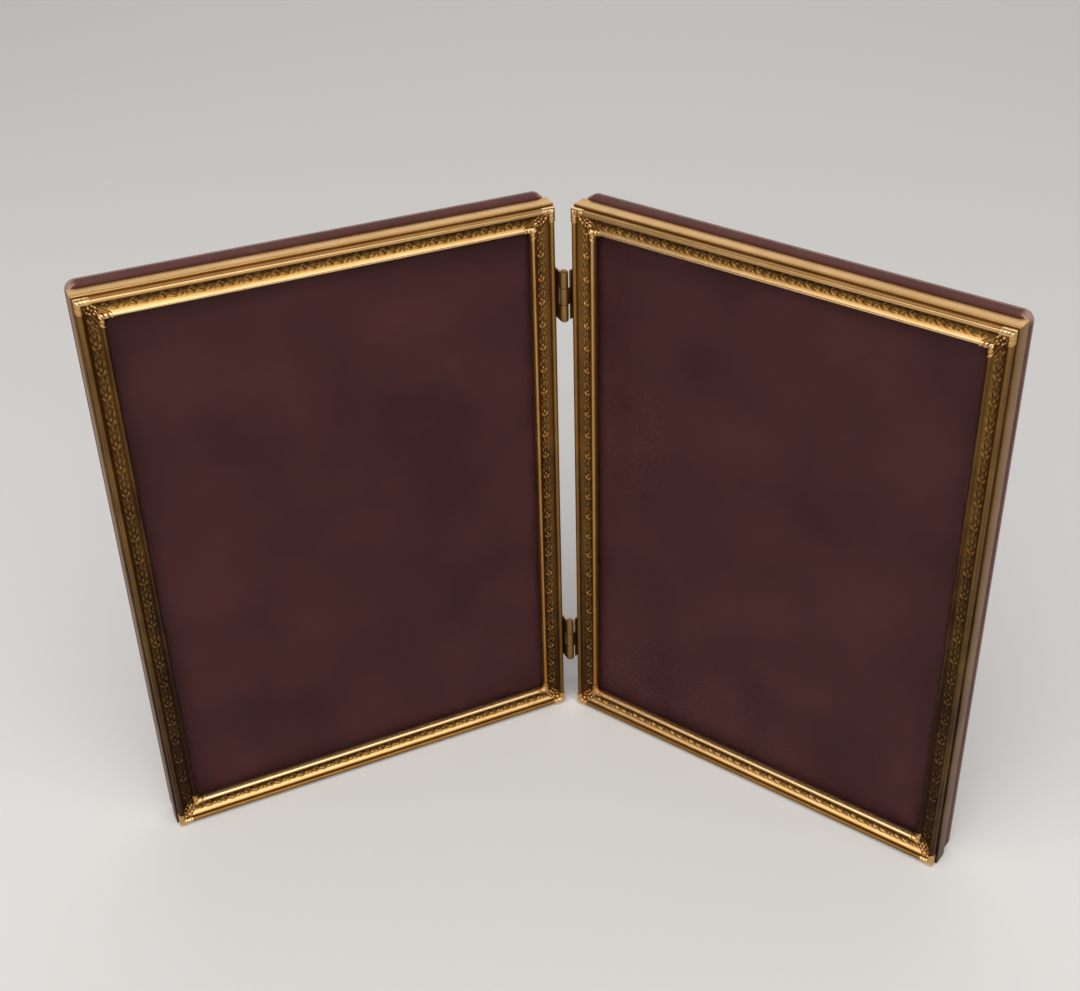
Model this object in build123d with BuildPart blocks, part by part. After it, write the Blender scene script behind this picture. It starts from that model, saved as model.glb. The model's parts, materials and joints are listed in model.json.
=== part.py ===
"""Hinged double photo frame, 5 x 7 inch.

Two leaves of stamped brass moulding stand open like a book on two small butt hinges.
Each leaf holds a pane, and a covered back whose lined card pushes in between the walls
from behind. Millimetres, +Z up, the fronts face -Y, the frame stands on z = 0.
"""

import os
from math import cos, radians, sin, sqrt

from build123d import *

# Opening of one leaf, and the turn of each leaf away from the X axis
opening_width = 122.5
opening_height = 171.5
leaf_angle = 31.0

# Brass moulding, from the outer wall to the opening, depths taken from the bead's front
sheet = 0.5
step_depth = 2.5
bead_inset = 0.7
bead_radius = 0.75
cove_width = 4.0
cove_start_depth = 1.2
cove_end_depth = 2.6
cove_sag = 0.9
lip_radius = 0.75
lip_setback = 1.5
lip_edge_depth = 3.6

# What lies in a leaf behind the lip, front to back
glass_thickness = 2.0
photo_gap = 0.3
lining_thickness = 0.3
card_thickness = 1.6
back_thickness = 4.0
edge_clearance = 0.4

# Back: a board in leatherette, flush with the walls and proud of the top rail
covering_thickness = 0.35
covering_turn_in = 8.0
back_seat_gap = 0.2
back_proud = 1.0
back_inset = 0.1
back_corner_radius = 3.0

# Stamped corner caps, and how far they reach along a rail from the outer corner
cap_thickness = 0.35
cap_flank_depth = 1.6
cap_edge_depth = 2.7
cap_bead_reach = 4.6
cap_lip_reach = 9.8

# Butt hinges
hinge_height = 16.0
hinge_end_distance = 20.5
barrel_radius = 1.3
plate_thickness = 0.6
plate_reach = 8.4
axis_front = 1.0
pin_radius = 0.62
pin_clearance = 0.03
pin_head_radius = 0.95
pin_head_height = 0.35
knuckle_gap = 0.15
plate_gap = 0.3

# Moulding places that follow from the sizes above
bead_centre = bead_inset + bead_radius
bead_end = bead_inset + 2 * bead_radius
lip_start = bead_end + cove_width
lip_centre = lip_start + lip_radius
face_width = lip_start + 2 * lip_radius
lip_centre_depth = lip_setback + lip_radius
cove_run = Vector(cove_width, cove_start_depth - cove_end_depth)
cove_radius = (cove_run.length**2 / 4 + cove_sag**2) / (2 * cove_sag)
cove_rise = (cove_radius - cove_sag) / cove_run.length
cove_centre_x = bead_end + cove_width / 2 - cove_run.Y * cove_rise
cove_centre_y = -(cove_start_depth + cove_end_depth) / 2 + cove_run.X * cove_rise

# Depths of the stack behind the lip
glass_back = lip_edge_depth + glass_thickness
lining_front = glass_back + photo_gap
card_front = lining_front + lining_thickness
back_front = card_front + card_thickness
wall_depth = back_front - back_seat_gap
leaf_depth = back_front + back_thickness

# Leaf outline, measured along the leaf from the hinge axis
leaf_width = opening_width + 2 * face_width
leaf_height = opening_height + 2 * face_width
wall_start = barrel_radius
leaf_middle = wall_start + leaf_width / 2
pane_width = leaf_width - 2 * (sheet + edge_clearance)
pane_height = leaf_height - 2 * (sheet + edge_clearance)
back_width = leaf_width - 2 * back_inset
back_height = leaf_height + back_proud - back_inset
back_middle = back_inset + back_height / 2

# Hinge axis, set so that the middle of the frame's footprint lies on the origin
turn_cos = cos(radians(leaf_angle))
turn_sin = sin(radians(leaf_angle))
front_bead_along = wall_start + leaf_width - bead_centre
front_reach = front_bead_along * turn_sin - (axis_front + bead_radius) * turn_cos
front_reach += bead_radius + cap_thickness
rear_rim_along = wall_start + back_inset + covering_thickness
rear_reach = (axis_front + leaf_depth) * turn_cos - rear_rim_along * turn_sin
hinge_y = (front_reach - rear_reach) / 2


def leaf_plane(hand):
    """Plane of the bead fronts: x across the leaf, y up, z out of the front, axis at x = 0."""
    axis = Plane(
        origin=(0, hinge_y, 0),
        x_dir=(turn_cos, -hand * turn_sin, 0),
        z_dir=(-hand * turn_sin, -turn_cos, 0),
    )
    return axis.offset(-axis_front)


def rail_plane(leaf, across, up, inward):
    """Section plane of a rail: x from the outer wall inwards, y out of the front."""
    origin = leaf.from_local_coords(Vector(across, up, 0))
    x_dir = leaf.from_local_coords(Vector(across, up, 0) + inward) - origin
    return Plane(origin=origin, x_dir=x_dir, z_dir=x_dir.cross(leaf.z_dir))


def mitre_plane(section, length, end):
    """Plane at 45 degrees through the outer corner at one end of a rail, facing outwards."""
    corner = section.from_local_coords(Vector(0, 0, end * length / 2))
    return Plane(origin=corner, z_dir=section.x_dir + section.z_dir * end)


def cove_level(across, shift):
    """Height of the cove's skin, lying shift behind its outer surface."""
    run = across - cove_centre_x
    return cove_centre_y - sqrt((cove_radius + shift) ** 2 - run**2)


def bead_line(start, crown, finish, inside):
    """Half-round bead, or the tight fold that its sheet makes on the inside."""
    if inside:
        Polyline(start, crown, finish)
    else:
        ThreePointArc(start, crown, finish)


def face_line(shift, flank_depth, edge_depth):
    """Bead, cove and lip as one line, on a skin lying shift behind the outer surface."""
    inside = shift > 0
    bead_out = bead_inset + shift
    bead_in = bead_end - shift
    lip_out = lip_start + shift
    lip_in = face_width - shift
    cove_from = (bead_in, cove_level(bead_in, shift))
    cove_to = (lip_out, cove_level(lip_out, shift))
    cove_mid = ((bead_in + lip_out) / 2, cove_level((bead_in + lip_out) / 2, shift))
    Line((bead_out, -flank_depth), (bead_out, -bead_radius))
    bead_line((bead_out, -bead_radius), (bead_centre, -shift), (bead_in, -bead_radius), inside)
    Line((bead_in, -bead_radius), cove_from)
    ThreePointArc(cove_from, cove_mid, cove_to)
    Line(cove_to, (lip_out, -lip_centre_depth))
    bead_line(
        (lip_out, -lip_centre_depth),
        (lip_centre, -lip_setback - shift),
        (lip_in, -lip_centre_depth),
        inside,
    )
    Line((lip_in, -lip_centre_depth), (lip_in, -edge_depth))


def moulding(section, length):
    """One rail of brass sheet, mitred at both ends."""
    with BuildPart() as rail:
        with BuildSketch(section):
            with BuildLine():
                face_line(0, step_depth, lip_edge_depth)
                Line((face_width, -lip_edge_depth), (face_width - sheet, -lip_edge_depth))
                face_line(sheet, step_depth + sheet, lip_edge_depth)
                Polyline(
                    (bead_inset + sheet, -step_depth - sheet),
                    (sheet, -step_depth - sheet),
                    (sheet, -wall_depth),
                    (0, -wall_depth),
                    (0, -step_depth),
                    (bead_inset, -step_depth),
                )
            make_face()
        extrude(amount=length / 2, both=True)
        for end in (-1, 1):
            split(bisect_by=mitre_plane(section, length, end), keep=Keep.BOTTOM)
    return rail


def corner_cap(section, length, end):
    """Thin stamped cap over a mitre: a sleeve on the bead, a fan in the cove, a bar on the lip."""
    mitre = mitre_plane(section, length, end)
    outline = Plane(origin=mitre.origin, x_dir=section.x_dir, z_dir=section.y_dir)
    inner_edge = face_width + cap_thickness
    with BuildPart() as cap:
        with BuildSketch(section):
            with BuildLine():
                face_line(-cap_thickness, cap_flank_depth, cap_edge_depth)
                Line(
                    (bead_inset - cap_thickness, -cap_flank_depth),
                    (bead_inset, -cap_flank_depth),
                )
                face_line(0, cap_flank_depth, cap_edge_depth)
                Line((face_width, -cap_edge_depth), (inner_edge, -cap_edge_depth))
            make_face()
        extrude(amount=length / 2, both=True)
        split(bisect_by=mitre, keep=Keep.BOTTOM)
        with BuildSketch(outline.offset(-leaf_depth)):
            with BuildLine():
                Polyline(
                    (bead_inset - cap_thickness, 0),
                    (bead_inset - cap_thickness, end * cap_bead_reach),
                    (bead_end, end * cap_bead_reach),
                    (lip_start, end * cap_lip_reach),
                    (inner_edge, end * cap_lip_reach),
                    (inner_edge, 0),
                    close=True,
                )
            make_face()
        extrude(amount=2 * leaf_depth, mode=Mode.INTERSECT)
        mirror(about=mitre)
    return cap


def sheet_in_leaf(leaf, hand, depth, thickness):
    """Flat sheet of the pane's outline, its front face at a depth behind the bead fronts."""
    with BuildPart() as flat:
        with BuildSketch(leaf.offset(-depth)):
            with Locations((hand * leaf_middle, leaf_height / 2)):
                Rectangle(pane_width, pane_height)
        extrude(amount=-thickness)
    return flat


def back_outline(hand, margin):
    """Outline of the back with round corners, or one drawn in from it by a margin."""
    with Locations((hand * leaf_middle, back_middle)):
        RectangleRounded(back_width - 2 * margin, back_height - 2 * margin, back_corner_radius)


def hinge_plate(leaf, hand, foot, knuckle_spans):
    """Half of a butt hinge: a plate on the stile's wall, rolled into knuckles at its front."""
    axis = Plane(origin=(0, hinge_y, foot), x_dir=leaf.x_dir, z_dir=(0, 0, 1))
    plate_inner = hand * (wall_start - plate_thickness / 2)
    cut_back = barrel_radius + plate_gap
    with BuildPart() as plate:
        with BuildSketch(axis):
            with Locations((plate_inner, (cut_back + plate_reach) / 2)):
                Rectangle(plate_thickness, plate_reach - cut_back)
        extrude(amount=hinge_height)
        for low, high in knuckle_spans:
            with BuildSketch(axis.offset(low)):
                with Locations((plate_inner, cut_back / 2)):
                    Rectangle(plate_thickness, cut_back)
                Circle(barrel_radius)
                Circle(pin_radius + pin_clearance, mode=Mode.SUBTRACT)
            extrude(amount=high - low)
    return plate


os.makedirs("parts", exist_ok=True)

knuckle = (hinge_height - 2 * knuckle_gap) / 3
outer_knuckles = ((0, knuckle), (hinge_height - knuckle, hinge_height))
middle_knuckle = ((knuckle + knuckle_gap, hinge_height - knuckle - knuckle_gap),)
hinge_feet = {
    "upper": leaf_height - hinge_end_distance - hinge_height,
    "lower": hinge_end_distance,
}

for side, hand in (("left", -1), ("right", 1)):
    leaf = leaf_plane(hand)
    free_edge = hand * (wall_start + leaf_width)
    hinge_edge = hand * wall_start
    top_section = rail_plane(leaf, hand * leaf_middle, leaf_height, Vector(0, -1, 0))
    bottom_section = rail_plane(leaf, hand * leaf_middle, 0, Vector(0, 1, 0))
    hinge_section = rail_plane(leaf, hinge_edge, leaf_height / 2, Vector(hand, 0, 0))
    free_section = rail_plane(leaf, free_edge, leaf_height / 2, Vector(-hand, 0, 0))

    # Rails, mitred and soldered at the corners
    for rail, section, length in (
        ("top_rail", top_section, leaf_width),
        ("bottom_rail", bottom_section, leaf_width),
        ("hinge_stile", hinge_section, leaf_height),
        ("free_stile", free_section, leaf_height),
    ):
        strip = moulding(section, length)
        strip.part.label = f"{side}_{rail}"
        export_step(strip.part, f"parts/{side}_{rail}.step")

    # Corner caps, one over each mitre
    for corner, section, end in (
        ("top_hinge", hinge_section, -hand),
        ("bottom_hinge", hinge_section, hand),
        ("top_free", free_section, hand),
        ("bottom_free", free_section, -hand),
    ):
        cap = corner_cap(section, leaf_height, end)
        cap.part.label = f"{side}_{corner}_cap"
        export_step(cap.part, f"parts/{side}_{corner}_cap.step")

    # Pane, lining and filler card
    for piece, depth, thickness in (
        ("glass", lip_edge_depth, glass_thickness),
        ("card_lining", lining_front, lining_thickness),
        ("filler_card", card_front, card_thickness),
    ):
        flat = sheet_in_leaf(leaf, hand, depth, thickness)
        flat.part.label = f"{side}_{piece}"
        export_step(flat.part, f"parts/{side}_{piece}.step")

    # Back: the board, and its covering drawn over the rear and the edges and turned in at the front
    with BuildPart() as board:
        with BuildSketch(leaf.offset(-back_front - covering_thickness)):
            back_outline(hand, covering_thickness)
        extrude(amount=-(back_thickness - 2 * covering_thickness))
        with BuildSketch(leaf.offset(-back_front - covering_thickness)):
            with Locations((hand * leaf_middle, back_middle)):
                Rectangle(back_width - 2 * covering_turn_in, back_height - 2 * covering_turn_in)
        extrude(amount=covering_thickness)
    board.part.label = f"{side}_back_board"
    export_step(board.part, f"parts/{side}_back_board.step")

    with BuildPart() as covering:
        with BuildSketch(leaf.offset(-back_front)):
            back_outline(hand, 0)
        extrude(amount=-back_thickness)
        chamfer(covering.faces().filter_by(leaf).edges(), length=covering_thickness)
        add(board.part, mode=Mode.SUBTRACT)
    covering.part.label = f"{side}_back_covering"
    export_step(covering.part, f"parts/{side}_back_covering.step")

    # Hinge plates: the left ones carry the two outer knuckles, the right ones the middle one
    for place, foot in hinge_feet.items():
        spans = outer_knuckles if side == "left" else middle_knuckle
        plate = hinge_plate(leaf, hand, foot, spans)
        plate.part.label = f"{place}_hinge_{side}_plate"
        export_step(plate.part, f"parts/{place}_hinge_{side}_plate.step")

# Hinge pins, peened over at both ends
for place, foot in hinge_feet.items():
    with BuildPart() as pin:
        with BuildSketch(Plane(origin=(0, hinge_y, foot))):
            Circle(pin_radius)
        extrude(amount=hinge_height)
        for level in (-pin_head_height, hinge_height):
            with BuildSketch(Plane(origin=(0, hinge_y, foot + level))):
                Circle(pin_head_radius)
            extrude(amount=pin_head_height)
    pin.part.label = f"{place}_hinge_pin"
    export_step(pin.part, f"parts/{place}_hinge_pin.step")
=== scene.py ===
import json
from math import acos, atan2, copysign, cos, hypot, pi, radians, sin, sqrt

import bmesh
import bpy
import numpy
from mathutils import Matrix, Vector


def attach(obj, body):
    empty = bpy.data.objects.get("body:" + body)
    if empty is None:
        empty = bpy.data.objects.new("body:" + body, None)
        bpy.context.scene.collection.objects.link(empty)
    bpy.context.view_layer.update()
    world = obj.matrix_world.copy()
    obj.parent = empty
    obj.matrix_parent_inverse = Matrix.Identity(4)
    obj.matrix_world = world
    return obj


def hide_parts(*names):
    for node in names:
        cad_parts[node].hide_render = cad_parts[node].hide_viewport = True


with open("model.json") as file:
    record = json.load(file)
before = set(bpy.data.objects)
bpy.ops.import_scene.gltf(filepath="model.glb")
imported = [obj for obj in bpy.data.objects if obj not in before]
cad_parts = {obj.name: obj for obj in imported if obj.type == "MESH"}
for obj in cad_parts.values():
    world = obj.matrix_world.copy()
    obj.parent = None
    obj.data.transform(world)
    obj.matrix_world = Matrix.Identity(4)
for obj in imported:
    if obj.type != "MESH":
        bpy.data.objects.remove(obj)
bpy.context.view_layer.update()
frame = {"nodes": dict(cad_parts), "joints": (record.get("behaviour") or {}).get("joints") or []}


# Moulding: four mitred lengths of thin sheet brass to each leaf, gold lacquered and soldered at the
# mitres. Rollers give the strip its outer wall, its bead, its cove with a running husk leaf, and
# the lip that the pane lies behind.
MM = 0.001
hands = {"left": -1, "right": 1}
leaf_turn = radians(31)
axis_y = frame["joints"][0]["pos_m"][1] / MM
axis_front = 1.0
wall_start = 1.3
opening_width = 122.5
opening_height = 171.5

sheet = 0.5
wall_depth = 7.6
step_depth = 2.5
bead_inset = 0.7
bead_radius = 0.75
cove_width = 4.0
cove_start = 1.2
cove_end = 2.6
cove_sag = 0.9
lip_radius = 0.75
lip_setback = 1.5
lip_edge = 3.6
wall_bend = 0.4
edge_bend = 0.15
sweep_start = 0.6
sweep_turn = radians(45)
sweep_pull = 0.38

bead_centre = bead_inset + bead_radius
bead_end = bead_centre + bead_radius
lip_start = bead_end + cove_width
lip_centre = lip_start + lip_radius
lip_middle = lip_setback + lip_radius
face_width = lip_centre + lip_radius
leaf_width = opening_width + 2 * face_width
leaf_height = opening_height + 2 * face_width
leaf_middle = wall_start + leaf_width / 2

cove_chord = Vector((cove_width, cove_end - cove_start))
cove_radius = (cove_chord.length_squared / 4 + cove_sag ** 2) / (2 * cove_sag)
chord_middle = Vector((bead_end, cove_start)) + cove_chord / 2
chord_front = Vector((cove_chord.y, -cove_chord.x)).normalized()
cove_middle = chord_middle + chord_front * (cove_radius - cove_sag)
cove_first = atan2(cove_start - cove_middle.y, bead_end - cove_middle.x)
cove_last = atan2(cove_end - cove_middle.y, lip_start - cove_middle.x)


def on_leaf(hand, along, up, depth):
    """A point of the frame, in metres, from millimetres along a leaf from the hinge axis, up it and
    behind the fronts of its beads."""
    behind = axis_front + depth
    x = hand * (along * cos(leaf_turn) + behind * sin(leaf_turn))
    y = axis_y - along * sin(leaf_turn) + behind * cos(leaf_turn)
    return Vector((x, y, up)) * MM


def arc(centre, radius, first, last, steps):
    """Points of an arc between two angles."""
    angles = [first + (last - first) * i / steps for i in range(steps + 1)]
    return [(centre[0] + radius * cos(a), centre[1] + radius * sin(a)) for a in angles]


def bend(before, corner, after, radius, steps=3):
    """Points of a rounded bend at a corner of the strip."""
    corner = Vector(corner)
    first = corner + (Vector(before) - corner).normalized() * radius
    last = corner + (Vector(after) - corner).normalized() * radius
    shares = [i / steps for i in range(steps + 1)]
    return [tuple(first.lerp(corner, s).lerp(corner.lerp(last, s), s)) for s in shares]


def cove_point(share):
    """The (across, depth) point at a share of the way round the cove from the bead to the lip."""
    angle = cove_first + (cove_last - cove_first) * share
    return cove_middle.x + cove_radius * cos(angle), cove_middle.y + cove_radius * sin(angle)


def lip_sweep(steps):
    """The side of the lip that the cove runs up into without a crease."""
    first = Vector(cove_point(sweep_start))
    last = Vector((
        lip_centre - lip_radius * cos(sweep_turn), lip_middle - lip_radius * sin(sweep_turn)))
    control = first.lerp(Vector((last.x, first.y)), sweep_pull)
    shares = [i / steps for i in range(1, steps)]
    return [tuple(first.lerp(control, s).lerp(control.lerp(last, s), s)) for s in shares]


def lip_roll(steps):
    """The inner side of the lip, which rolls over from its crest towards the pane."""
    drop = lip_edge - edge_bend - lip_setback
    turns = [pi / 2 * i / steps for i in range(1, steps)]
    return [(lip_centre + lip_radius * sin(a), lip_setback + drop * (1 - cos(a))) for a in turns]


def face_line(round_steps, cove_steps):
    """The stamped face of the strip from the foot of its bead to the edge of its lip."""
    return [
        (bead_inset, (step_depth + bead_radius) / 2),
        *arc((bead_centre, bead_radius), bead_radius, -pi, 0, round_steps),
        *[cove_point(sweep_start * i / cove_steps) for i in range(cove_steps + 1)],
        *lip_sweep(2 * round_steps),
        *arc((lip_centre, lip_middle), lip_radius, sweep_turn - pi, -pi / 2, round_steps // 2),
        *lip_roll(round_steps),
    ]


def strip_section():
    """The closed outline of the rolled strip: (across, depth) points from its rear edge over the
    face and back along the inside."""
    rear = [(sheet, wall_depth), (0, wall_depth), (0, (wall_depth + step_depth) / 2)]
    shelf = bend((0, wall_depth), (0, step_depth), (bead_inset, step_depth), wall_bend)
    lip_foot = bend((face_width, lip_setback), (face_width, lip_edge), (0, lip_edge), edge_bend)
    inner = cove_radius + sheet
    inner_lip = acos((lip_start + sheet - cove_middle.x) / inner)
    inner_bead = acos((bead_end - sheet - cove_middle.x) / inner)
    inside = [
        (face_width - sheet, lip_edge),
        *arc((lip_centre, lip_middle), lip_radius - sheet, 0, -pi, steps=2),
        *arc(cove_middle, inner, inner_lip, inner_bead, steps=5),
        *arc((bead_centre, bead_radius), bead_radius - sheet, 0, -pi, steps=2),
        (bead_inset + sheet, step_depth + sheet),
        (sheet, step_depth + sheet),
    ]
    face = face_line(round_steps=10, cove_steps=26)
    return rear + shelf + [(bead_inset, step_depth)] + face + lip_foot + inside


# The running leaf: each husk is two short arms that open in a V with a bud in their fork, and
# leaves that curl to each side and close on the stem of the next, which has a bead on each side.
husk_pitch = 7.7
husk_share = 0.6
husk_half_width = 1.35
husk_strokes = [
    # path start, control and end (along, across), half widths at each, heights at each
    ((-0.1, 0.12), (0.6, 0.45), (1.4, 1.15), (0.40, 0.46, 0.36), (0.46, 0.58, 0.48)),
    ((1.15, 0.0), (1.65, 0.0), (2.15, 0.0), (0.36, 0.52, 0.36), (0.34, 0.52, 0.34)),
    ((2.4, 0.40), (3.2, 1.20), (4.5, 0.95), (0.30, 0.48, 0.28), (0.26, 0.38, 0.20)),
    ((3.2, 0.05), (4.0, 0.15), (4.9, 0.50), (0.26, 0.38, 0.24), (0.20, 0.30, 0.18)),
    ((5.0, 0.95), (5.7, 0.80), (6.2, 0.40), (0.26, 0.40, 0.26), (0.20, 0.32, 0.20)),
    ((5.2, 0.0), (6.3, 0.0), (7.4, 0.0), (0.30, 0.36, 0.30), (0.18, 0.24, 0.22)),
    ((6.5, 1.00), (6.8, 1.02), (7.1, 1.00), (0.26, 0.36, 0.26), (0.16, 0.28, 0.16)),
]


def husk_die():
    """The cut of the roller laid out flat in millimetres, with a husk on each side for the wrap."""
    stations, sides, bluntness = 9, 8, 6
    cut = bmesh.new()
    for shift in (-husk_pitch, 0, husk_pitch):
        for first, control, last, widths, heights in husk_strokes:
            for flip in ((1, -1) if any(p[1] for p in (first, control, last)) else (1,)):
                path = [Vector((p[0] + shift, p[1] * flip)) for p in (first, control, last)]
                rows = []
                for i in range(stations + 1):
                    s = i / stations
                    share = ((1 - s) ** 2, 2 * s * (1 - s), s * s)
                    spot = sum((p * w for p, w in zip(path, share)), Vector((0, 0)))
                    ahead = (path[1] - path[0]).lerp(path[2] - path[1], s).normalized()
                    tip = sqrt(max(0.0, 1 - abs(2 * s - 1) ** bluntness))
                    width = sum(w * k for w, k in zip(widths, share)) * tip
                    height = sum(h * k for h, k in zip(heights, share)) * tip
                    row = []
                    for j in range(sides + 1):
                        turn = -pi / 2 + pi * j / sides
                        place = spot + Vector((-ahead.y, ahead.x)) * width * sin(turn)
                        row.append(cut.verts.new((place.x, place.y, height * cos(turn))))
                    rows.append(row)
                for low, high in zip(rows, rows[1:]):
                    for j in range(sides):
                        cut.faces.new((low[j], low[j + 1], high[j + 1], high[j]))
    mesh = bpy.data.meshes.new("husk_die")
    cut.to_mesh(mesh)
    cut.free()
    die = bpy.data.objects.new("husk_die", mesh)
    bpy.context.scene.collection.objects.link(die)
    return die


def add(tree, kind, inputs=None, **settings):
    """Adds a node with its settings; its inputs are values or other nodes' output sockets."""
    node = tree.nodes.new(kind)
    for name, value in settings.items():
        setattr(node, name, value)
    for socket, value in (inputs or {}).items():
        if isinstance(value, bpy.types.NodeSocket):
            tree.links.new(value, node.inputs[socket])
        else:
            node.inputs[socket].default_value = value
    return node


def stamping_tree():
    """Geometry nodes that press the die into a strip: each point looks up the height of the die at
    its place along and across the cove, and rises by it."""
    clear_height = 2.0
    tree = bpy.data.node_groups.new("running_leaf_stamp", "GeometryNodeTree")
    tree.interface.new_socket("Strip", in_out="INPUT", socket_type="NodeSocketGeometry")
    tree.interface.new_socket("Die", in_out="INPUT", socket_type="NodeSocketObject")
    tree.interface.new_socket("Pitch", in_out="INPUT", socket_type="NodeSocketFloat")
    tree.interface.new_socket("Unit", in_out="INPUT", socket_type="NodeSocketFloat")
    tree.interface.new_socket("Brass", in_out="INPUT", socket_type="NodeSocketMaterial")
    tree.interface.new_socket("Moulding", in_out="OUTPUT", socket_type="NodeSocketGeometry")
    given = add(tree, "NodeGroupInput").outputs
    along, across, stamped = (
        add(tree, "GeometryNodeInputNamedAttribute", {"Name": name}).outputs["Attribute"]
        for name in ("along", "across", "stamped"))
    wrapped = add(tree, "ShaderNodeMath", {0: along, 1: given["Pitch"], 2: 0.0},
                  operation="WRAP").outputs[0]
    above = add(tree, "ShaderNodeCombineXYZ", {
        "X": wrapped, "Y": across, "Z": clear_height}).outputs[0]
    die = add(tree, "GeometryNodeObjectInfo", {"Object": given["Die"]}).outputs["Geometry"]
    ray = add(tree, "GeometryNodeRaycast", {
        "Target Geometry": die, "Source Position": above, "Ray Direction": (0, 0, -1),
        "Ray Length": 2 * clear_height}).outputs
    height = add(tree, "ShaderNodeSeparateXYZ", {0: ray["Hit Position"]}).outputs["Z"]
    pressed = add(tree, "ShaderNodeMath", {0: height, 1: ray["Is Hit"]},
                  operation="MULTIPLY").outputs[0]
    pressed = add(tree, "ShaderNodeMath", {0: pressed, 1: stamped}, operation="MULTIPLY").outputs[0]
    soft = add(tree, "GeometryNodeBlurAttribute", {"Value": pressed, "Iterations": 1}).outputs[0]
    marked = add(tree, "GeometryNodeStoreNamedAttribute", {
        "Geometry": given["Strip"], "Name": "relief", "Value": soft}).outputs[0]
    rise = add(tree, "ShaderNodeMath", {0: soft, 1: given["Unit"]}, operation="MULTIPLY").outputs[0]
    normal = add(tree, "GeometryNodeInputNormal").outputs[0]
    offset = add(tree, "ShaderNodeVectorMath", {0: normal, "Scale": rise},
                 operation="SCALE").outputs[0]
    raised = add(tree, "GeometryNodeSetPosition", {"Geometry": marked, "Offset": offset}).outputs[0]
    real = add(tree, "GeometryNodeRealizeInstances", {"Geometry": raised}).outputs[0]
    brassed = add(tree, "GeometryNodeSetMaterial", {"Geometry": real, "Material": given["Brass"]})
    add(tree, "NodeGroupOutput", {"Moulding": brassed.outputs[0]})
    return tree


def linear(hex_code):
    """An sRGB hex colour as the linear colour that shaders work in."""
    levels = [int(hex_code[i:i + 2], 16) / 255 for i in (1, 3, 5)]
    return [v / 12.92 if v <= 0.04045 else ((v + 0.055) / 1.055) ** 2.4 for v in levels] + [1.0]


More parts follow.
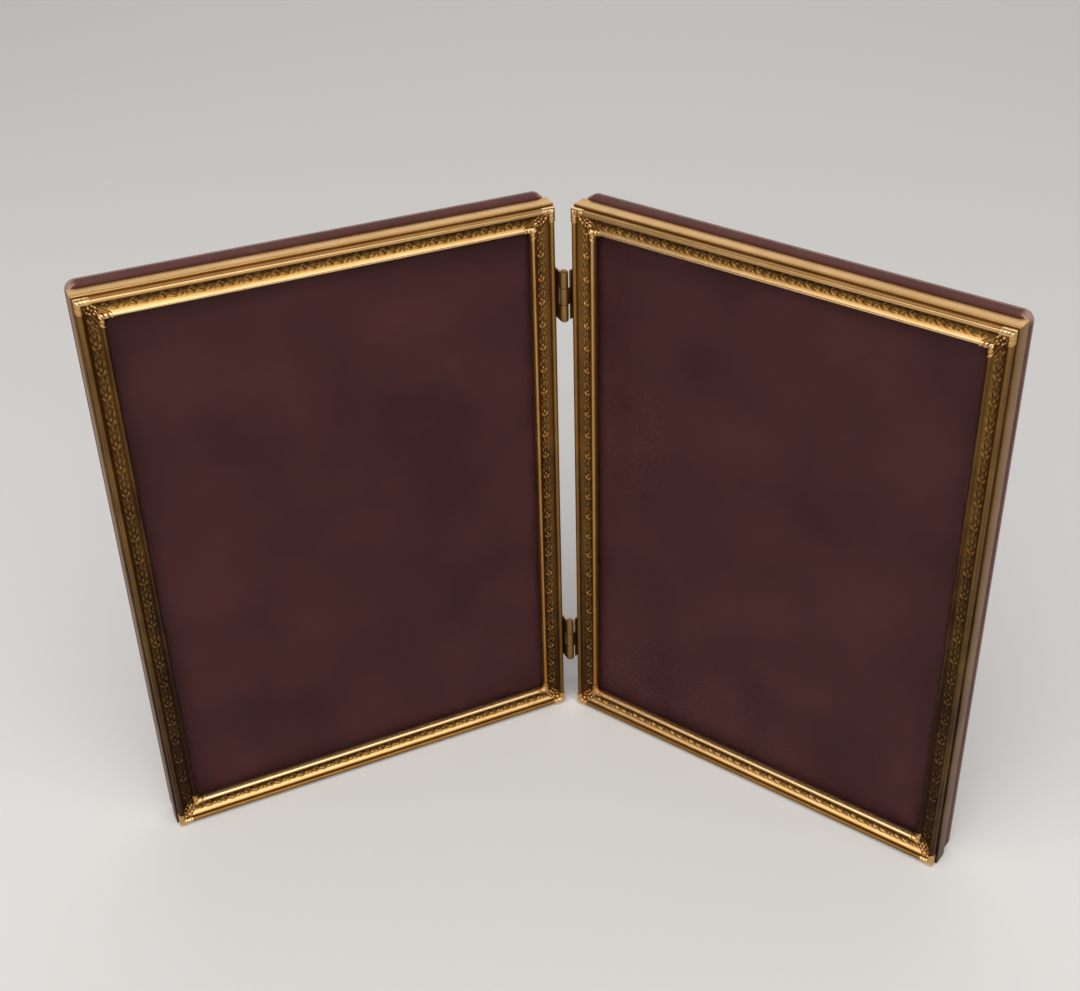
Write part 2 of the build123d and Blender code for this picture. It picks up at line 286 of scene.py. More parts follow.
def lacquered_brass(name, rubbed_and_lit, body, tarnished_and_shaded, roughness):
    """Stamped brass under old gold lacquer: the hollows keep a brown tarnish, the crests are rubbed
    bright, the rollers leave faint streaks along the strip, and the sheet is clouded and dented.
    The tones that a piece carries also paint in its light and shade: the brown stands in for shade,
    and the rubbed colour for highlights."""
    cloud_size, dent_size, grit_size = 14 * MM, 5 * MM, 0.35 * MM
    # The rollers' streaks are a few hundredths wide, and are drawn coarser so that they show.
    streak_width, streak_length = 0.7, 40.0
    # How far the relief, the streaks and the clouds shift the tarnish, which also holds painted
    # light and shade, and the levels at which the brass is wholly rubbed and lit, plainly
    # lacquered, and wholly brown with tarnish and painted shade.
    relief_shift, streak_shift, cloud_shift = -1.5, 0.4, 0.5
    rubbed_at, plain_at, brown_at = -0.5, 0.5, 1.4
    # How far rubbing lowers the roughness, and tarnish and grit raise it.
    rub_polish, tarnish_matt, grit_matt = 0.06, 0.16, 0.1
    brass = bpy.data.materials.new(name)
    brass.use_nodes = True
    tree = brass.node_tree
    tree.nodes.clear()
    place = add(tree, "ShaderNodeTexCoord").outputs["Object"]
    patina, relief, girth, along = (
        add(tree, "ShaderNodeAttribute", attribute_name=title).outputs["Fac"]
        for title in ("patina", "relief", "girth", "along"))
    cloud = add(tree, "ShaderNodeTexNoise", {
        "Vector": place, "Scale": 1 / cloud_size, "Detail": 5.0, "Roughness": 0.62}).outputs["Fac"]
    grit = add(tree, "ShaderNodeTexNoise", {
        "Vector": place, "Scale": 1 / grit_size, "Detail": 2.0}).outputs["Fac"]
    dents = add(tree, "ShaderNodeTexNoise", {
        "Vector": place, "Scale": 1 / dent_size, "Detail": 2.0}).outputs["Fac"]
    drawn = add(tree, "ShaderNodeCombineXYZ", {
        "X": add(tree, "ShaderNodeMath", {0: girth, 1: 1 / streak_width},
                 operation="MULTIPLY").outputs[0],
        "Y": add(tree, "ShaderNodeMath", {0: along, 1: 1 / streak_length},
                 operation="MULTIPLY").outputs[0],
    }).outputs[0]
    streaks = add(tree, "ShaderNodeTexNoise", {
        "Vector": drawn, "Scale": 1.0, "Detail": 2.0}).outputs["Fac"]
    # the piece's tarnish with its painted light and shade, made brighter on the relief's crests
    worn = add(tree, "ShaderNodeMath", {0: relief, 1: relief_shift, 2: patina},
               operation="MULTIPLY_ADD").outputs[0]
    streaked = add(tree, "ShaderNodeMath", {0: streaks, 1: streak_shift, 2: worn},
                   operation="MULTIPLY_ADD").outputs[0]
    age_and_shade = add(tree, "ShaderNodeMath", {0: cloud, 1: cloud_shift, 2: streaked},
              operation="MULTIPLY_ADD").outputs[0]
    bright = add(tree, "ShaderNodeMapRange", {
        "Value": age_and_shade, "From Min": rubbed_at, "From Max": plain_at}).outputs[0]
    dull = add(tree, "ShaderNodeMapRange", {
        "Value": age_and_shade, "From Min": plain_at, "From Max": brown_at}).outputs[0]
    # the rubbed colour is for rubbed crests and painted highlights, the brown for tarnish and
    # painted shade
    lacquer = add(tree, "ShaderNodeMix", {0: bright, 6: linear(rubbed_and_lit), 7: linear(body)},
                  data_type="RGBA").outputs[2]
    aged_and_shaded = add(tree, "ShaderNodeMix", {0: dull, 6: lacquer, 7: linear(tarnished_and_shaded)},
               data_type="RGBA").outputs[2]
    matt = add(tree, "ShaderNodeMapRange", {
        "Value": age_and_shade, "From Min": rubbed_at, "From Max": brown_at,
        "To Min": roughness - rub_polish, "To Max": roughness + tarnish_matt}).outputs[0]
    matt = add(tree, "ShaderNodeMath", {0: grit, 1: grit_matt, 2: matt},
               operation="MULTIPLY_ADD").outputs[0]
    hammered = add(tree, "ShaderNodeBump", {
        "Height": dents, "Strength": 0.25, "Distance": 0.12 * MM}).outputs[0]
    skin = add(tree, "ShaderNodeBump", {
        "Height": grit, "Strength": 0.3, "Distance": 0.02 * MM, "Normal": hammered}).outputs[0]
    metal = add(tree, "ShaderNodeBsdfPrincipled", {
        "Base Color": aged_and_shaded, "Metallic": 1.0, "Roughness": matt, "Normal": skin})
    add(tree, "ShaderNodeOutputMaterial", {"Surface": metal.outputs[0]})
    return brass


moulding_brass = lacquered_brass(
    "gold lacquered stamped brass", "#f4cc94", "#ad7f40", "#38261a", roughness=0.25)

# A cap covers each mitre, so the leaf pattern fades out before its slanted edge.
cap_bead_reach = 4.6
cap_lip_reach = 9.8
pattern_gap = 0.1
pattern_fade = 0.5
station_step = 0.2
mitre_zone = 12.0
ground_tarnish = 0.2
tone_lines = [
    # lines along the strip where each rail has a tone of its own, which holds painted light and
    # shade as well as tarnish and wear
    (0, wall_depth), (0, (wall_depth + step_depth) / 2), (0, step_depth), (bead_inset, step_depth),
    (bead_inset, bead_radius), (bead_centre, 0), cove_point(0), cove_point(0.15), cove_point(0.35),
    cove_point(0.6), cove_point(0.9), (lip_start, lip_middle), (lip_centre, lip_setback),
    (face_width, lip_edge)]


def cap_reach(across):
    """How far a corner cap reaches along a rail from the outer corner, at a distance across it."""
    share = min(1.0, max(0.0, (across - bead_end) / cove_width))
    return cap_bead_reach + (cap_lip_reach - cap_bead_reach) * share


def rail_mesh(name, section, length, place, tarnish_and_shade, foot_darkening, crispness):
    """A mitred length of strip along its rail, whose points carry what the stamping needs."""
    steps = round(length / station_step)
    rounds = [0.0]
    for before, point in zip(section, section[1:]):
        rounds.append(rounds[-1] + hypot(point[0] - before[0], point[1] - before[1]))
    husk_axis, *tone_rounds = (
        min(zip(section, rounds), key=lambda spot: hypot(spot[0][0] - x, spot[0][1] - y))[1]
        for x, y in [cove_point(husk_share)] + tone_lines)
    offs = [round_at - husk_axis for round_at in rounds]
    # each point's tarnish and painted light and shade, read from its rail's tones
    tones = numpy.interp(rounds, tone_rounds, tarnish_and_shade)
    grounds = [min(1.0, max(0.0, 2 - 2 * abs(off) / husk_half_width)) for off in offs]
    tones = [tone + ground_tarnish * ground for tone, ground in zip(tones, grounds)]
    points, along, stamped, patina = [], [], [], []
    for i in range(steps + 1):
        t = length * (i / steps - 0.5)
        # darker towards the foot
        patina += [tone - foot_darkening * t / length for tone in tones]
        mitre_share = max(0.0, abs(t) - length / 2 + mitre_zone) / mitre_zone
        for u, depth in section:
            run = t - copysign(mitre_share * u, t)
            clear = (length / 2 - abs(run) - cap_reach(u) - pattern_gap) / pattern_fade
            points.append(place(run, u, depth))
            along.append(run)
            stamped.append(crispness * min(1.0, max(0.0, clear)))
    count = len(section)
    faces = [tuple(range(count)), tuple(range(steps * count, (steps + 1) * count))]
    for i in range(steps):
        for j in range(count):
            k = (j + 1) % count
            faces.append((i * count + j, i * count + k, (i + 1) * count + k, (i + 1) * count + j))
    mesh = closed_mesh(name, points, faces)
    for title, values in (
            ("along", along), ("stamped", stamped), ("across", offs * (steps + 1)),
            ("girth", rounds * (steps + 1)), ("patina", patina)):
        mesh.attributes.new(title, "FLOAT", "POINT").data.foreach_set("value", values)
    return mesh


def closed_mesh(name, points, faces, sharp=35):
    """A mesh with its faces turned outwards, smooth but for edges sharper than an angle."""
    mesh = bpy.data.meshes.new(name)
    mesh.from_pydata(points, [], faces)
    shell = bmesh.new()
    shell.from_mesh(mesh)
    bmesh.ops.recalc_face_normals(shell, faces=shell.faces)
    shell.to_mesh(mesh)
    shell.free()
    mesh.shade_smooth()
    mesh.set_sharp_from_angle(angle=radians(sharp))
    return mesh


def fit(name, mesh, body, slot, *nodes):
    """A finished piece: its mesh in the scene, riding on its body in place of its CAD nodes."""
    piece = bpy.data.objects.new(name, mesh)
    bpy.context.scene.collection.objects.link(piece)
    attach(piece, body)
    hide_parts(*nodes)
    return piece


def finished(blank):
    """The plain mesh that an object's modifiers give, with the object itself cleared away."""
    graph = bpy.context.evaluated_depsgraph_get()
    result = bpy.data.meshes.new_from_object(
        blank.evaluated_get(graph), preserve_all_data_layers=True, depsgraph=graph)
    source = blank.data
    result.name = blank.name
    blank.modifiers.clear()
    bpy.data.objects.remove(blank)
    bpy.data.meshes.remove(source)
    return result


def stamp(name, mesh, tree, values):
    """Runs a geometry nodes tree on a mesh and gives the plain mesh that comes out."""
    blank = bpy.data.objects.new(name, mesh)
    bpy.context.scene.collection.objects.link(blank)
    modifier = blank.modifiers.new(tree.name, "NODES")
    modifier.node_group = tree
    for socket in tree.interface.items_tree:
        if socket.in_out == "INPUT" and socket.name in values:
            modifier[socket.identifier] = values[socket.name]
    return finished(blank)


rails = {
    # length, the place of a point along and across the rail, its tarnish and painted light and
    # shade at each tone line, how much darker its foot is than its top, and how crisp its relief is
    # painted light and shade in the tones: the top rail's cove is dark by the bead and bright by
    # the lip, the bottom rail's cove is bright by the bead, and the stiles are darker all over
    "top_rail": (
        leaf_width, lambda hand, t, u: (leaf_middle + hand * t, leaf_height - u),
        (-0.1, -0.3, -0.2, 0.45, 0.0, -0.5, 0.95, 1.0, 0.85, 0.55, 0.2, -0.25, -0.9, 0.2), 0, 0.65),
    "bottom_rail": (
        leaf_width, lambda hand, t, u: (leaf_middle + hand * t, u),
        (0.4, 0.3, 0.4, 0.9, 0.65, 0.25, 0.65, -0.5, -0.2, 0.7, 0.95, -0.1, -1.2, -0.4), 0, 1.0),
    "hinge_stile": (
        leaf_height, lambda hand, t, u: (wall_start + u, leaf_height / 2 + t),
        (0.75, 0.72, 0.6, 0.85, 0.75, 0.4, 0.7, 0.75, 0.75, 0.62, 0.6, 0.5, -0.1, 0.1), 0.3, 1.15),
    "free_stile": (
        leaf_height, lambda hand, t, u: (wall_start + leaf_width - u, leaf_height / 2 + t),
        (0.5, 0.6, 0.65, 0.85, 0.8, 0.7, 0.72, 0.74, 0.76, 0.72, 0.8, 0.85, 0.9, 0.9), 0.4, 0.65),
}
die = husk_die()
stamping = stamping_tree()
for side, hand in hands.items():
    for rail, (length, spot, tarnish_and_shade, foot_darkening, crispness) in rails.items():
        blank = rail_mesh(
            f"{side}_{rail}_strip", strip_section(), length,
            lambda t, u, depth: on_leaf(hand, *spot(hand, t, u), depth), tarnish_and_shade,
            foot_darkening, crispness)
        mesh = stamp(f"{side}_{rail}_moulding", blank, stamping, {
            "Die": die, "Pitch": husk_pitch, "Unit": MM, "Brass": moulding_brass})
        fit(f"{side}_{rail}_moulding", mesh, f"{side}_leaf", "moulding_brass", f"{side}_{rail}")
bpy.data.objects.remove(die)


# Corner caps: a small stamped brass shell pressed over each mitre. A fluted sleeve grips the bead
# on both rails, a rosette of lobes fills the cove, and a bar lies on the lip beside two bosses.
cap_edge_depth = 2.7
cap_flank_depth = 1.6
cap_columns = 40
sleeve_height = 0.22
ring_pitch = 1.3
ring_groove = 0.18
ring_depth = 0.05
ground_height = 0.1
ridge_width = 1.0
ridge_height = 0.28
ridge_bow = 0.9
bar_height = 0.33
bar_notch = 8.9
notch_width = 0.3
notch_depth = 0.8
shell_sink = 0.05
# The tarnish of each form, and how much brighter its crest or darker its groove is.
sleeve_tone, ring_tone = -0.6, 0.3
ground_tone, ridge_rub = 0.55, 1.8
bar_tone, notch_tone = -0.5, 0.6
lobe_tone, lobe_rub = 0.4, 1.2
# painted shade: the side of each cap that lies on the stile is darker, like the stiles
stile_side_shade = 0.3
cap_lobes = [
    # distance down the mitre from the outer corner and off it, half length, half width, degrees
    # that it is turned from the mitre, height
    (2.05, 0.0, 0.75, 0.75, 0, 0.35),
    (3.55, 0.0, 0.42, 0.42, 0, 0.50),
    (4.55, 0.60, 0.45, 0.38, 35, 0.58),
    (5.55, 0.0, 0.48, 0.44, 0, 0.68),
    (5.85, 1.15, 0.50, 0.40, 35, 0.60),
    (6.85, 0.0, 0.55, 0.50, 0, 0.75),
    (7.05, 1.15, 0.52, 0.42, 0, 0.62),
    (8.05, 0.50, 0.50, 0.42, 0, 0.60),
    (9.75, 0.50, 0.66, 0.56, 0, 0.62),
]


def cap_form(x, y):
    """Height of a cap over the moulding and its tarnish, at distances along the two rails from the
    outer corner."""
    across, run = min(x, y), max(x, y)
    edge = cap_reach(across) - run
    if across < bead_end:
        ring = abs((run - bead_end) % ring_pitch - ring_pitch / 2) / ring_groove
        cut = max(0.0, 1 - ring) if run > bead_end else 0.0
        height = sleeve_height - ring_depth * cut
        tone = ring_tone * cut + sleeve_tone
    elif across < lip_start:
        bow = ridge_bow * sin(pi * (across - bead_end) / cove_width)
        ridge = 1 - (2 * (edge - bow) / ridge_width - 1) ** 2
        height = ground_height + (ridge_height - ground_height) * sqrt(max(0.0, ridge))
        tone = ground_tone - ridge_rub * (height - ground_height)
    else:
        notch = max(0.0, 1 - abs(run - bar_notch) / notch_width)
        height = bar_height * (1 - notch_depth * notch)
        tone = notch_tone * notch + bar_tone
    down, off = (x + y) / sqrt(2), abs(x - y) / sqrt(2)
    for lobe_down, lobe_off, long, wide, turn, rise in cap_lobes:
        aim = radians(turn)
        dx, dy = down - lobe_down, off - lobe_off
        reach = hypot(
            (dx * cos(aim) + dy * sin(aim)) / long, (dy * cos(aim) - dx * sin(aim)) / wide)
        top = ground_height + (rise - ground_height) * sqrt(max(0.0, 1 - reach * reach))
        if reach < 1 and top > height:
            height = top
            tone = lobe_tone - lobe_rub * sqrt(1 - reach * reach)
    return height, tone


def cap_mesh(name, place):
    """The shell of a cap, as a grid over the face line of both rails that shares the mitre."""
    line = [(bead_inset, cap_flank_depth)]
    line += [(u, depth) for u, depth in face_line(round_steps=12, cove_steps=30)[1:]
             if u < lip_centre or depth < cap_edge_depth]
    rows = []
    for i, (u, depth) in enumerate(line):
        before, after = Vector(line[max(0, i - 1)]), Vector(line[min(len(line) - 1, i + 1)])
        ahead = (after - before).normalized()
        rows.append((u, depth, ahead.y, -ahead.x))
    width = 2 * cap_columns + 1
    points, patina = [], []
    for outer in (True, False):
        for u, depth, out_across, out_depth in rows:
            for k in range(-cap_columns, cap_columns + 1):
                past = (cap_reach(u) - u) * abs(k) / cap_columns
                x, y = (u + past, u) if k > 0 else (u, u + past)
                height, tone = cap_form(x, y)
                # painted shade on the stile's side of the cap
                tone += stile_side_shade * min(1.0, max(0.0, y - x))
                rise = height if outer else -shell_sink
                across = u + out_across * rise
                run = across + past
                points.append(place(*((run, across) if k > 0 else (across, run)),
                                    depth + out_depth * rise))
                patina.append(tone)
    faces, layer = [], len(rows) * width
    for i in range(len(rows) - 1):
        for k in range(width - 1):
            a = i * width + k
            faces.append((a, a + 1, a + width + 1, a + width))
            faces.append((layer + a, layer + a + width, layer + a + width + 1, layer + a + 1))
    rim = list(range(width))
    rim += [i * width + width - 1 for i in range(1, len(rows))]
    rim += [(len(rows) - 1) * width + k for k in range(width - 2, -1, -1)]
    rim += [i * width for i in range(len(rows) - 2, 0, -1)]
    for a, b in zip(rim, rim[1:] + rim[:1]):
        faces.append((a, b, layer + b, layer + a))
    mesh = closed_mesh(name, points, faces, sharp=60)
    mesh.attributes.new("patina", "FLOAT", "POINT").data.foreach_set("value", patina)
    return mesh


cap_brass = lacquered_brass(
    "rubbed gold stamped brass", "#f4cc94", "#ad7f40", "#38261a", roughness=0.24)
cap_ends = {"top": (leaf_height, -1), "bottom": (0, 1)}
cap_edges = {"hinge": (wall_start, 1), "free": (wall_start + leaf_width, -1)}
for side, hand in hands.items():
    for end, (up, rise) in cap_ends.items():
        for edge, (along, run) in cap_edges.items():
            node = f"{side}_{end}_{edge}_cap"
            mesh = cap_mesh(f"{node}_shell", lambda x, y, depth: on_leaf(
                hand, along + run * x, up + rise * y, depth))
            mesh.materials.append(cap_brass)
            fit(f"{node}_shell", mesh, f"{side}_leaf", "cap_brass", node)


# Panes: 2 mm drawn glass, dropped in behind the lips. Years of wiping leave a thin film that dulls
# its reflections, so its index is below that of clean glass.
glass = bpy.data.materials.new("old picture glass")
glass.use_nodes = True
tree = glass.node_tree
tree.nodes.clear()
film_size = 30 * MM
place = add(tree, "ShaderNodeTexCoord").outputs["Object"]
film = add(tree, "ShaderNodeTexNoise", {
    "Vector": place, "Scale": 1 / film_size, "Detail": 6.0, "Distortion": 0.6}).outputs["Fac"]
wiped = add(tree, "ShaderNodeMix", {0: film, 6: linear("#f8f9f6"), 7: linear("#eef0ea")},
            data_type="RGBA").outputs[2]
pane = add(tree, "ShaderNodeBsdfPrincipled", {
    "Base Color": wiped, "IOR": 1.06, "Roughness": 0.0, "Transmission Weight": 1.0})
open_pane = add(tree, "ShaderNodeBsdfTransparent", {"Color": linear("#f0f2ee")})
shadow = add(tree, "ShaderNodeLightPath").outputs["Is Shadow Ray"]
mix = add(tree, "ShaderNodeMixShader", {0: shadow, 1: pane.outputs[0], 2: open_pane.outputs[0]})
add(tree, "ShaderNodeOutputMaterial", {"Surface": mix.outputs[0]})
for side in hands:
    for slot in frame["nodes"][f"{side}_glass"].material_slots:
        slot.material = glass


# Lining: thin maroon leatherette pasted on the filler card, seen through the empty pane. It has
# cockled a little, and its face is clouded and hair-scratched.
def leatherette(name, face, faded, scuff_and_sheen, scratched, grained):
    """Maroon paper leatherette: a fine pressed grain, cloudy dye, edges rubbed pale, and hair
    scratches that come and go. Where a piece marks its rims, their pale colour is partly rubbing
    and partly a painted sheen."""
    grain_size, cloud_size, scuff_size = 0.9 * MM, 24 * MM, 3.5 * MM
    # A hair scratch is under a tenth wide, and is drawn coarser so that it shows.
    scratch_gap, scratch_width, sway_size, sway_reach = 26 * MM, 0.3 * MM, 34 * MM, 50 * MM
    scuff_share = 0.55
    cloth = bpy.data.materials.new(name)
    cloth.use_nodes = True
    tree = cloth.node_tree
    tree.nodes.clear()
    place = add(tree, "ShaderNodeTexCoord").outputs["Object"]
    worn = add(tree, "ShaderNodeAttribute", attribute_name="worn").outputs["Fac"]
    cloud = add(tree, "ShaderNodeTexNoise", {
        "Vector": place, "Scale": 1 / cloud_size, "Detail": 7.0, "Roughness": 0.6}).outputs["Fac"]
    scuff = add(tree, "ShaderNodeTexNoise", {
        "Vector": place, "Scale": 1 / scuff_size, "Detail": 6.0, "Roughness": 0.7}).outputs["Fac"]
    grain = add(tree, "ShaderNodeTexVoronoi", {
        "Vector": place, "Scale": 1 / grain_size}).outputs["Distance"]
    sway = add(tree, "ShaderNodeTexNoise", {
        "Vector": place, "Scale": 1 / sway_size, "Detail": 2.0}).outputs["Color"]
    swayed = add(tree, "ShaderNodeVectorMath", {0: sway, 1: [sway_reach] * 3, 2: place},
                 operation="MULTIPLY_ADD").outputs[0]
    hair = add(tree, "ShaderNodeTexVoronoi", {
        "Vector": swayed, "Scale": 1 / scratch_gap}, feature="DISTANCE_TO_EDGE").outputs["Distance"]
    hair = add(tree, "ShaderNodeMapRange", {
        "Value": hair, "From Min": 0.0, "From Max": scratch_width / scratch_gap,
        "To Min": 1.0, "To Max": 0.0}).outputs[0]
    shown = add(tree, "ShaderNodeMapRange", {
        "Value": scuff, "From Min": 0.48, "From Max": 0.62, "To Max": scratched}).outputs[0]
    hair = add(tree, "ShaderNodeMath", {0: hair, 1: shown}, operation="MULTIPLY").outputs[0]
    tone = add(tree, "ShaderNodeMapRange", {
        "Value": cloud, "From Min": 0.3, "From Max": 0.7}).outputs[0]
    dyed = add(tree, "ShaderNodeMix", {0: tone, 6: linear(face), 7: linear(faded)},
               data_type="RGBA").outputs[2]
    rub_and_sheen = add(tree, "ShaderNodeMath", {0: scuff, 1: scuff_share, 2: worn},
              operation="MULTIPLY_ADD").outputs[0]
    rub_and_sheen = add(tree, "ShaderNodeMapRange", {
        "Value": rub_and_sheen, "From Min": 0.42, "From Max": 1.2}).outputs[0]
    rub_and_sheen = add(tree, "ShaderNodeMath", {0: rub_and_sheen, 1: hair}, operation="MAXIMUM").outputs[0]
    rubbed_and_lit = add(tree, "ShaderNodeMix", {0: rub_and_sheen, 6: dyed, 7: linear(scuff_and_sheen)},
                 data_type="RGBA").outputs[2]
    matt = add(tree, "ShaderNodeMapRange", {
        "Value": scuff, "From Min": 0.3, "From Max": 0.7, "To Min": 0.5, "To Max": 0.68}).outputs[0]
    pebble = add(tree, "ShaderNodeBump", {
        "Height": grain, "Strength": grained, "Distance": 0.08 * MM}).outputs[0]
    # The cloth has lost its dressing, so it hardly shines.
    paper = add(tree, "ShaderNodeBsdfPrincipled", {
        "Base Color": rubbed_and_lit, "Roughness": matt, "IOR": 1.45, "Specular IOR Level": 0.12,
        "Normal": pebble})
    add(tree, "ShaderNodeOutputMaterial", {"Surface": paper.outputs[0]})
    return cloth


lining_leatherette = leatherette(
    "maroon leatherette lining", "#32171a", "#422223", "#684a4a", scratched=0.25, grained=0.0)
pane_margin = 0.9
glass_thickness = 2.0
photo_gap = 0.3
lining_thickness = 0.3
cockle = 0.09
cockle_along, cockle_up = 0.11, 0.071
cockle_sway, sway_up = 1.3, 0.043
hand_shift = 0.8
lining_columns, lining_rows = 60, 82
lining_front = lip_edge + glass_thickness + photo_gap
lining_width = leaf_width - 2 * pane_margin
lining_height = leaf_height - 2 * pane_margin


def lining_mesh(name, hand):
    """A pasted sheet: a cockled face, a flat back on the card and a thin rim."""
    points, width = [], lining_columns + 1
    for back in (False, True):
        for j in range(lining_rows + 1):
            for i in range(width):
                along = wall_start + pane_margin + lining_width * i / lining_columns
                up = pane_margin + lining_height * j / lining_rows
                wave = sin(along * cockle_along + cockle_sway * sin(up * sway_up))
                wave *= sin(up * cockle_up + hand_shift * hand)
                lift = 0 if i in (0, lining_columns) or j in (0, lining_rows) else cockle * wave
                depth = lining_front + (lining_thickness if back else -lift)
                points.append(on_leaf(hand, along, up, depth))
    layer, faces = width * (lining_rows + 1), []
    for j in range(lining_rows):
        for i in range(lining_columns):
            a = j * width + i
            faces.append((a, a + 1, a + width + 1, a + width))
            faces.append((layer + a, layer + a + width, layer + a + width + 1, layer + a + 1))
    rim = list(range(width))
    rim += [j * width + lining_columns for j in range(1, lining_rows + 1)]
    rim += [lining_rows * width + i for i in range(lining_columns - 1, -1, -1)]
    rim += [j * width for j in range(lining_rows - 1, 0, -1)]
    for a, b in zip(rim, rim[1:] + rim[:1]):
        faces.append((a, b, layer + b, layer + a))
    return closed_mesh(name, points, faces)


for side, hand in hands.items():
    mesh = lining_mesh(f"{side}_lining_sheet", hand)
    mesh.materials.append(lining_leatherette)
    fit(f"{side}_lining_sheet", mesh, f"{side}_back", "maroon_leatherette", f"{side}_card_lining")


# Boards: grey pasteboard, a thin filler card that presses the photograph on the pane and a stiff
# board inside the back, both left bare at their cut edges.
pasteboard = bpy.data.materials.new("grey pasteboard")
pasteboard.use_nodes = True
tree = pasteboard.node_tree
tree.nodes.clear()
fibre_size, ply_size = 1.6 * MM, 0.35 * MM
place = add(tree, "ShaderNodeTexCoord").outputs["Object"]
fibres = add(tree, "ShaderNodeTexNoise", {
    "Vector": place, "Scale": 1 / fibre_size, "Detail": 5.0, "Distortion": 1.2}).outputs["Fac"]
plies = add(tree, "ShaderNodeTexNoise", {
    "Vector": place, "Scale": 1 / ply_size, "Detail": 2.0}).outputs["Fac"]
pulp = add(tree, "ShaderNodeMix", {0: fibres, 6: linear("#8f877b"), 7: linear("#aaa295")},
           data_type="RGBA").outputs[2]
fuzz = add(tree, "ShaderNodeBump", {
    "Height": plies, "Strength": 0.4, "Distance": 0.05 * MM}).outputs[0]
board = add(tree, "ShaderNodeBsdfPrincipled", {
    "Base Color": pulp, "Roughness": 0.85, "IOR": 1.5, "Normal": fuzz})
add(tree, "ShaderNodeOutputMaterial", {"Surface": board.outputs[0]})
for side in hands:
    for node in (f"{side}_filler_card", f"{side}_back_board"):
        for slot in frame["nodes"][node].material_slots:
            slot.material = pasteboard


# Back coverings: maroon leatherette drawn over the rear and the edges of the board, turned in at
# the front and pasted down, so every edge is soft and the rims are rubbed pale; the pale of the
# rear rims is partly a painted sheen.
covering = 0.35
turn_in = 8.0
card_thickness = 1.6
back_thickness = 4.0
back_inset = 0.1
back_proud = 1.0
back_corner = 3.0
least_corner = 0.5
edge_round = 0.5
rim_steps = 5
corner_steps = 8
flap_wear = 0.1
# painted sheen: the rear rims are rubbed pale and painted paler still as a sheen of light along
# them
rim_wear_and_sheen = 0.9
rim_rub_and_sheen_start = 0.55
corner_wear = 0.8
back_front = lining_front + lining_thickness + card_thickness
back_leatherette = leatherette(
    "maroon leatherette back", "#51302d", "#5f3c36", "#a08474", scratched=0.12, grained=0.2)


def back_outline(inset):
    """The back's rounded outline, set in by a distance."""
    low, high = wall_start + back_inset + inset, wall_start + leaf_width - back_inset - inset
    foot, top = back_inset + inset, leaf_height + back_proud - inset
    radius = max(least_corner, back_corner - inset)
    return [
        *arc((low + radius, foot + radius), radius, -pi / 2, -pi, corner_steps),
        *arc((low + radius, top - radius), radius, pi, pi / 2, corner_steps),
        *arc((high - radius, top - radius), radius, pi / 2, 0, corner_steps),
        *arc((high - radius, foot + radius), radius, 0, -pi / 2, corner_steps),
    ]


# From the inside of the rear over the inside of the front flap, round it and back over the rims:
# how far each loop is set in, its depth, and its wear, which on the rear rims is partly a painted
# sheen.
back_loops = [
    (covering, back_thickness - covering, 0), (covering, covering, 0), (turn_in, covering, 0),
    (turn_in, 0, flap_wear), (6 * edge_round, 0, flap_wear)]
turns = [pi / 2 * i / rim_steps for i in range(rim_steps + 1)]
for turn in turns:
    back_loops.append((edge_round * (1 - sin(turn)), edge_round * (1 - cos(turn)), flap_wear))
back_loops.append((0, back_thickness * rim_rub_and_sheen_start, flap_wear))
for turn in reversed(turns):
    back_loops.append((
        edge_round * (1 - sin(turn)), back_thickness - edge_round * (1 - cos(turn)), rim_wear_and_sheen))
back_loops += [(3 * edge_round, back_thickness, flap_wear), (9 * edge_round, back_thickness, 0)]

for side, hand in hands.items():
    points, worn, faces = [], [], []
    for inset, depth, wear_and_sheen in back_loops:
        for k, (along, up) in enumerate(back_outline(inset)):
            corner = sin(pi * (k % (corner_steps + 1)) / corner_steps)
            points.append(on_leaf(hand, along, up, back_front + depth))
            worn.append(wear_and_sheen + corner_wear * corner * (inset < edge_round))
    count = len(back_outline(0))
    for row in range(len(back_loops) - 1):
        for k in range(count):
            a, b = row * count + k, row * count + (k + 1) % count
            faces.append((a, b, b + count, a + count))
    faces += [tuple(range(count)), tuple(range(len(points) - count, len(points)))]
    mesh = closed_mesh(f"{side}_back_wrap", points, faces)
    mesh.attributes.new("worn", "FLOAT", "POINT").data.foreach_set("value", worn)
    mesh.materials.append(back_leatherette)
    fit(f"{side}_back_wrap", mesh, f"{side}_back", "maroon_leatherette", f"{side}_back_covering")


# Hinges: two small brass butt hinges, soldered to the walls of the inner stiles. A strip is rolled
# round the pin for each knuckle, and the pin's ends are peened over; all arrises are rubbed.
hinge_brass = lacquered_brass("dull hinge brass", "#c8a066", "#8a6a3c", "#3a2a16", roughness=0.3)
hinge_edge_round = 0.12
weld_reach = 0.001
flat_turn, crease_turn, arris_turn = radians(1), radians(35), radians(40)
for node, machined in list(frame["nodes"].items()):
    if not node.endswith(("_plate", "_pin")):
        continue
    mesh = machined.data.copy()
    shell = bmesh.new()
    shell.from_mesh(mesh)
    bmesh.ops.remove_doubles(shell, verts=shell.verts, dist=weld_reach * MM)
    bmesh.ops.dissolve_limit(shell, angle_limit=flat_turn, verts=shell.verts, edges=shell.edges)
    shell.to_mesh(mesh)
    shell.free()
    blank = bpy.data.objects.new(f"{node}_rubbed", mesh)
    bpy.context.scene.collection.objects.link(blank)
    rubbing = blank.modifiers.new("rubbed arrises", "BEVEL")
    rubbing.width = hinge_edge_round * MM
    rubbing.segments = 2
    rubbing.limit_method = "ANGLE"
    rubbing.angle_limit = arris_turn
    mesh = finished(blank)
    mesh.shade_smooth()
    mesh.set_sharp_from_angle(angle=crease_turn)
    mesh.materials.clear()
    mesh.materials.append(hinge_brass)
    body = "right_leaf" if "right_plate" in node else "left_leaf"
    fit(f"{node}_rubbed", mesh, body, "hinge_brass", node)


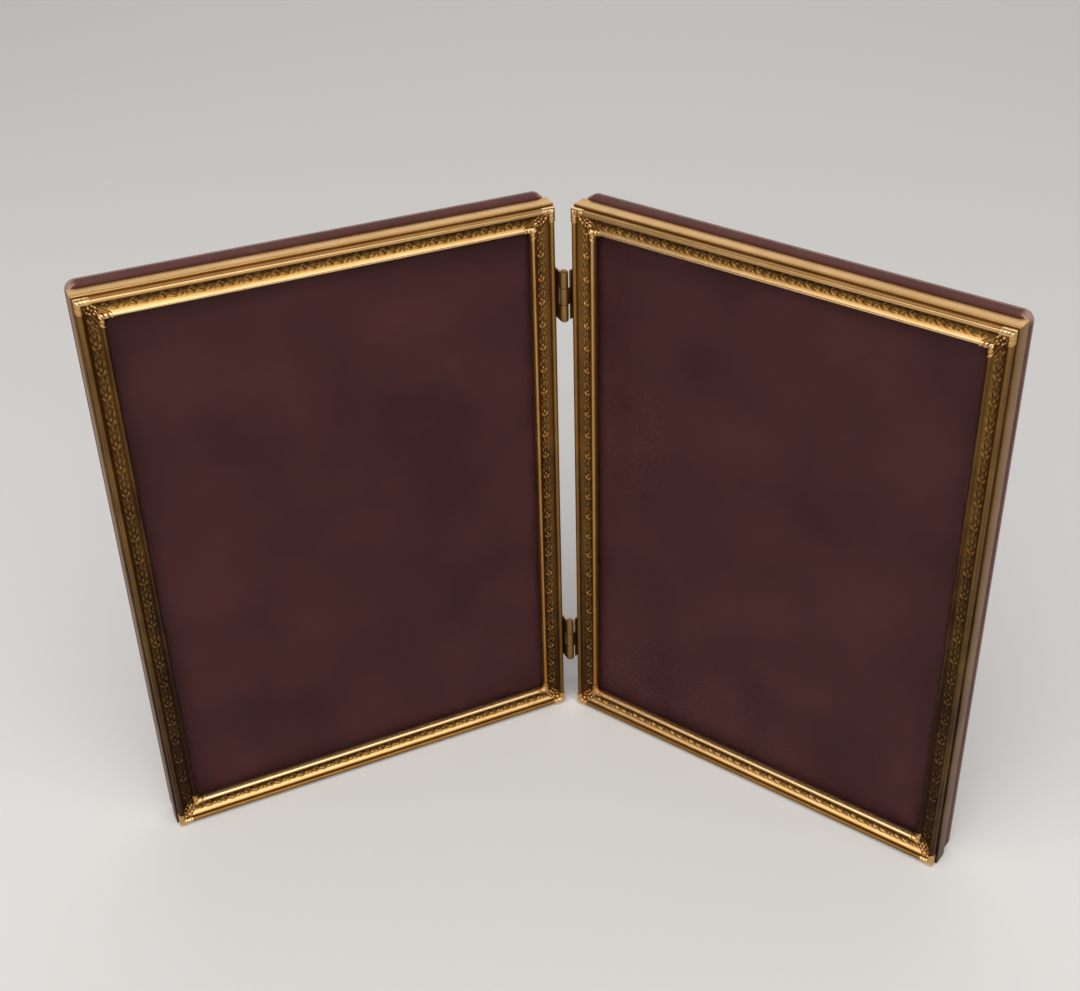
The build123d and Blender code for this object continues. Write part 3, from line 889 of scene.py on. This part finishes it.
# Stage: a plain pale floor, a broad softbox overhead in front, a soft panel low in front, another
# behind, and a dim even fill from all round.
floor_paint = bpy.data.materials.new("pale floor")
floor_paint.use_nodes = True
tree = floor_paint.node_tree
tree.nodes.clear()
paint = add(tree, "ShaderNodeBsdfPrincipled", {"Base Color": linear("#e4e1dc"), "Roughness": 0.9})
add(tree, "ShaderNodeOutputMaterial", {"Surface": paint.outputs[0]})
floor_half = 3.0
mesh = bpy.data.meshes.new("floor")
mesh.from_pydata([(x, y, 0) for x, y in ((-floor_half, -floor_half), (floor_half, -floor_half),
                                         (floor_half, floor_half), (-floor_half, floor_half))],
                 [], [(0, 1, 2, 3)])
mesh.materials.append(floor_paint)
floor = bpy.data.objects.new("floor", mesh)
bpy.context.scene.collection.objects.link(floor)

panels = [
    # name, place, aim, width, height, radiance
    ("softbox", (0, -0.70, 1.15), (0, 0, 0.1), 2.2, 1.3, 2.1),
    ("front panel", (0, -1.60, 0.75), (0, 0, 0.1), 2.4, 1.0, 1.5),
    ("rear panel", (0, 1.5, 1.05), (0, 0, 0.15), 2.0, 0.9, 1.2),
]
for name, place, aim, width, height, radiance in panels:
    panel = bpy.data.lights.new(name, "AREA")
    panel.shape = "RECTANGLE"
    panel.size, panel.size_y = width, height
    panel.energy = radiance * width * height * pi
    lamp = bpy.data.objects.new(name, panel)
    lamp.location = place
    lamp.rotation_euler = (Vector(aim) - Vector(place)).to_track_quat("-Z", "Y").to_euler()
    bpy.context.scene.collection.objects.link(lamp)

world = bpy.data.worlds.new("studio")
world.use_nodes = True
world.node_tree.nodes["Background"].inputs["Color"].default_value = linear("#75757a")
world.node_tree.nodes["Background"].inputs["Strength"].default_value = 1.0
bpy.context.scene.world = world
bpy.context.scene.view_settings.view_transform = "Standard"


# Camera: in front, a little to the right and well above, looking down on the open leaves.
camera = bpy.data.cameras.new("camera")
camera.sensor_fit = "HORIZONTAL"
camera.sensor_width = 36.0
camera.lens = 52.59
camera.shift_x = -0.0603
camera.shift_y = 0.0063
from_axis = Vector((44.6, -426.6, 365.1))
pitch, yaw, roll = radians(33.19), radians(-4.347), radians(-0.107)
forward = Vector((sin(yaw) * cos(pitch), cos(yaw) * cos(pitch), -sin(pitch)))
right = Vector((cos(yaw), -sin(yaw), 0))
up = right.cross(forward)
turned_right = right * cos(roll) + up * sin(roll)
turned_up = up * cos(roll) - right * sin(roll)
axes = Matrix((turned_right, turned_up, -forward)).transposed().to_4x4()
viewer = bpy.data.objects.new("camera", camera)
viewer.matrix_world = Matrix.Translation((from_axis + Vector((0, axis_y, 0))) * MM) @ axes
bpy.context.scene.collection.objects.link(viewer)
bpy.context.scene.camera = viewer
